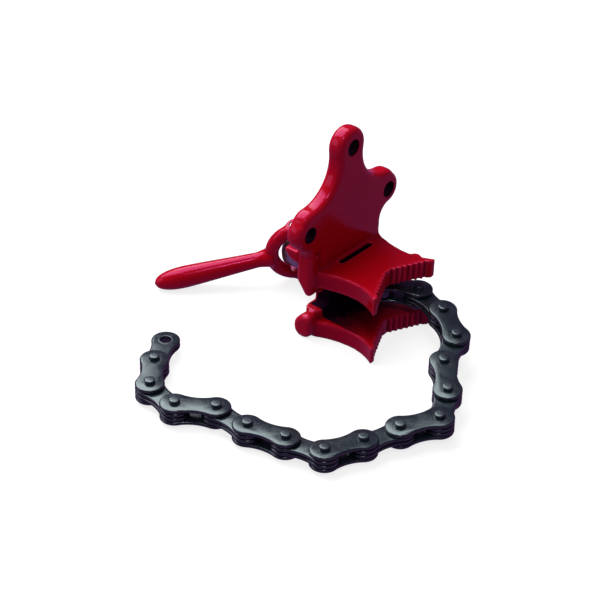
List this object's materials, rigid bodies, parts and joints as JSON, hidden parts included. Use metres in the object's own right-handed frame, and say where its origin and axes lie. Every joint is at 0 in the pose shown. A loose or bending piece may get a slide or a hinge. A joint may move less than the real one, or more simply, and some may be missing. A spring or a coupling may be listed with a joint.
{
  "type": "chain pipe vise",
  "caption": "Bench chain vise for pipe: flanged cast body with toothed V jaws, a chain on a screw, and a yoke handle that spins the nut to tighten it.",
  "frame": {"origin": "midway between the two bench bolt holes, on the back face of the flange", "axes": "+X out of the flange along the jaws, +Y along the row of two bolt holes, +Z towards the third bolt hole; the vise lies on its lower jaw with its chain spread on the same surface"},
  "size_m": [0.2495, 0.2175, 0.1398],
  "materials": {
    "red_paint": "glossy red enamel over cast iron",
    "chain_steel": "dark oiled steel plates",
    "pin_steel": "dark oiled steel pins",
    "screw_steel": "blackened threaded steel",
    "nut_steel": "turned steel"
  },
  "bodies": {
    "base": {"vise_base": "red_paint"},
    "screw": {"chain_screw": "screw_steel"},
    "nut": {"handle_nut": "nut_steel", "pivot_pins": "nut_steel", "thrust_washer": "nut_steel"},
    "handle": {"yoke_handle": "red_paint"},
    "link_01": {"outer_plates_1": "chain_steel", "chain_pins_1": "pin_steel"},
    "link_02": {"inner_plates_1": "chain_steel", "link_bushes_1": "pin_steel"},
    "link_03": {"outer_plates_2": "chain_steel", "chain_pins_2": "pin_steel"},
    "link_04": {"inner_plates_2": "chain_steel", "link_bushes_2": "pin_steel"},
    "link_05": {"outer_plates_3": "chain_steel", "chain_pins_3": "pin_steel"},
    "link_06": {"inner_plates_3": "chain_steel", "link_bushes_3": "pin_steel"},
    "link_07": {"outer_plates_4": "chain_steel", "chain_pins_4": "pin_steel"},
    "link_08": {"inner_plates_4": "chain_steel", "link_bushes_4": "pin_steel"},
    "link_09": {"outer_plates_5": "chain_steel", "chain_pins_5": "pin_steel"},
    "link_10": {"inner_plates_5": "chain_steel", "link_bushes_5": "pin_steel"},
    "link_11": {"outer_plates_6": "chain_steel", "chain_pins_6": "pin_steel"},
    "link_12": {"inner_plates_6": "chain_steel", "link_bushes_6": "pin_steel"},
    "link_13": {"outer_plates_7": "chain_steel", "chain_pins_7": "pin_steel"},
    "link_14": {"inner_plates_7": "chain_steel", "link_bushes_7": "pin_steel"},
    "link_15": {"outer_plates_8": "chain_steel", "chain_pins_8": "pin_steel"},
    "link_16": {"inner_plates_8": "chain_steel", "link_bushes_8": "pin_steel"}
  },
  "joints": [
    {"name": "nut_spin", "type": "hinge", "parent": "base", "child": "nut", "pos_m": [-0.0388, 0.012, -0.0555], "axis": [1, 0, 0], "range_deg": [-270, 1800]},
    {"name": "screw_slide", "type": "slide", "parent": "base", "child": "screw", "axis": [1, 0, 0], "range_m": [-0.0201, 0.0031]},
    {"name": "handle_swing", "type": "hinge", "parent": "nut", "child": "handle", "pos_m": [-0.0388, 0.012, -0.0555], "axis": [0, -0.2656, 0.9641], "range_deg": [-148, 52]},
    {"name": "link_01_hinge", "type": "hinge", "parent": "screw", "child": "link_01", "pos_m": [0.03, 0.012, -0.0555], "axis": [-0.0377, 0.0166, -0.9992], "range_deg": [-70, 15]},
    {"name": "link_02_hinge", "type": "hinge", "parent": "link_01", "child": "link_02", "pos_m": [0.05282, 0.02313, -0.05618], "axis": [0.0377, -0.0166, 0.9992], "range_deg": [-15, 90]},
    {"name": "link_03_hinge", "type": "hinge", "parent": "link_02", "child": "link_03", "pos_m": [0.07729, 0.01657, -0.05804], "axis": [-0.0791, 0.0849, -0.9932], "range_deg": [-90, 15]},
    {"name": "link_04_hinge", "type": "hinge", "parent": "link_03", "child": "link_04", "pos_m": [0.09821, 0.00246, -0.06091], "axis": [0.0791, -0.0849, 0.9932], "range_deg": [-10, 90]},
    {"name": "link_05_hinge", "type": "hinge", "parent": "link_04", "child": "link_05", "pos_m": [0.10642, -0.02136, -0.06412], "axis": [-0.0677, 0.1091, -0.9917], "range_deg": [-90, 15]},
    {"name": "link_06_hinge", "type": "hinge", "parent": "link_05", "child": "link_06", "pos_m": [0.12327, -0.04009, -0.06733], "axis": [0.0677, -0.1091, 0.9917], "range_deg": [-15, 90]},
    {"name": "link_07_hinge", "type": "hinge", "parent": "link_06", "child": "link_07", "pos_m": [0.13434, -0.06277, -0.0702], "axis": [-0.025, 0.077, -0.9967], "range_deg": [-90, 20]},
    {"name": "link_08_hinge", "type": "hinge", "parent": "link_07", "child": "link_08", "pos_m": [0.12127, -0.08451, -0.07155], "axis": [0.025, -0.077, 0.9967], "range_deg": [-25, 90]},
    {"name": "link_09_hinge", "type": "hinge", "parent": "link_08", "child": "link_09", "pos_m": [0.11218, -0.10821, -0.0724], "axis": [0, 0, -1], "range_deg": [-90, 30]},
    {"name": "link_10_hinge", "type": "hinge", "parent": "link_09", "child": "link_10", "pos_m": [0.10144, -0.13123, -0.0724], "axis": [0, 0, 1], "range_deg": [-25, 90]},
    {"name": "link_11_hinge", "type": "hinge", "parent": "link_10", "child": "link_11", "pos_m": [0.0768, -0.13737, -0.0724], "axis": [0, 0, -1], "range_deg": [-90, 30]},
    {"name": "link_12_hinge", "type": "hinge", "parent": "link_11", "child": "link_12", "pos_m": [0.05215, -0.14352, -0.0724], "axis": [0, 0, 1], "range_deg": [-40, 90]},
    {"name": "link_13_hinge", "type": "hinge", "parent": "link_12", "child": "link_13", "pos_m": [0.02676, -0.14308, -0.0724], "axis": [0, 0, -1], "range_deg": [-90, 90]},
    {"name": "link_14_hinge", "type": "hinge", "parent": "link_13", "child": "link_14", "pos_m": [0.0057, -0.15728, -0.0724], "axis": [0, 0, 1], "range_deg": [-80, 90]},
    {"name": "link_15_hinge", "type": "hinge", "parent": "link_14", "child": "link_15", "pos_m": [-0.01932, -0.15287, -0.0724], "axis": [0, 0, -1], "range_deg": [-90, 80]},
    {"name": "link_16_hinge", "type": "hinge", "parent": "link_15", "child": "link_16", "pos_m": [-0.03495, -0.13285, -0.0724], "axis": [0, 0, 1], "range_deg": [-90, 90]}
  ],
  "couplings": [
    {"joint": "screw_slide", "follows": "nut_spin", "m_per_rad": -0.00063662}
  ]
}
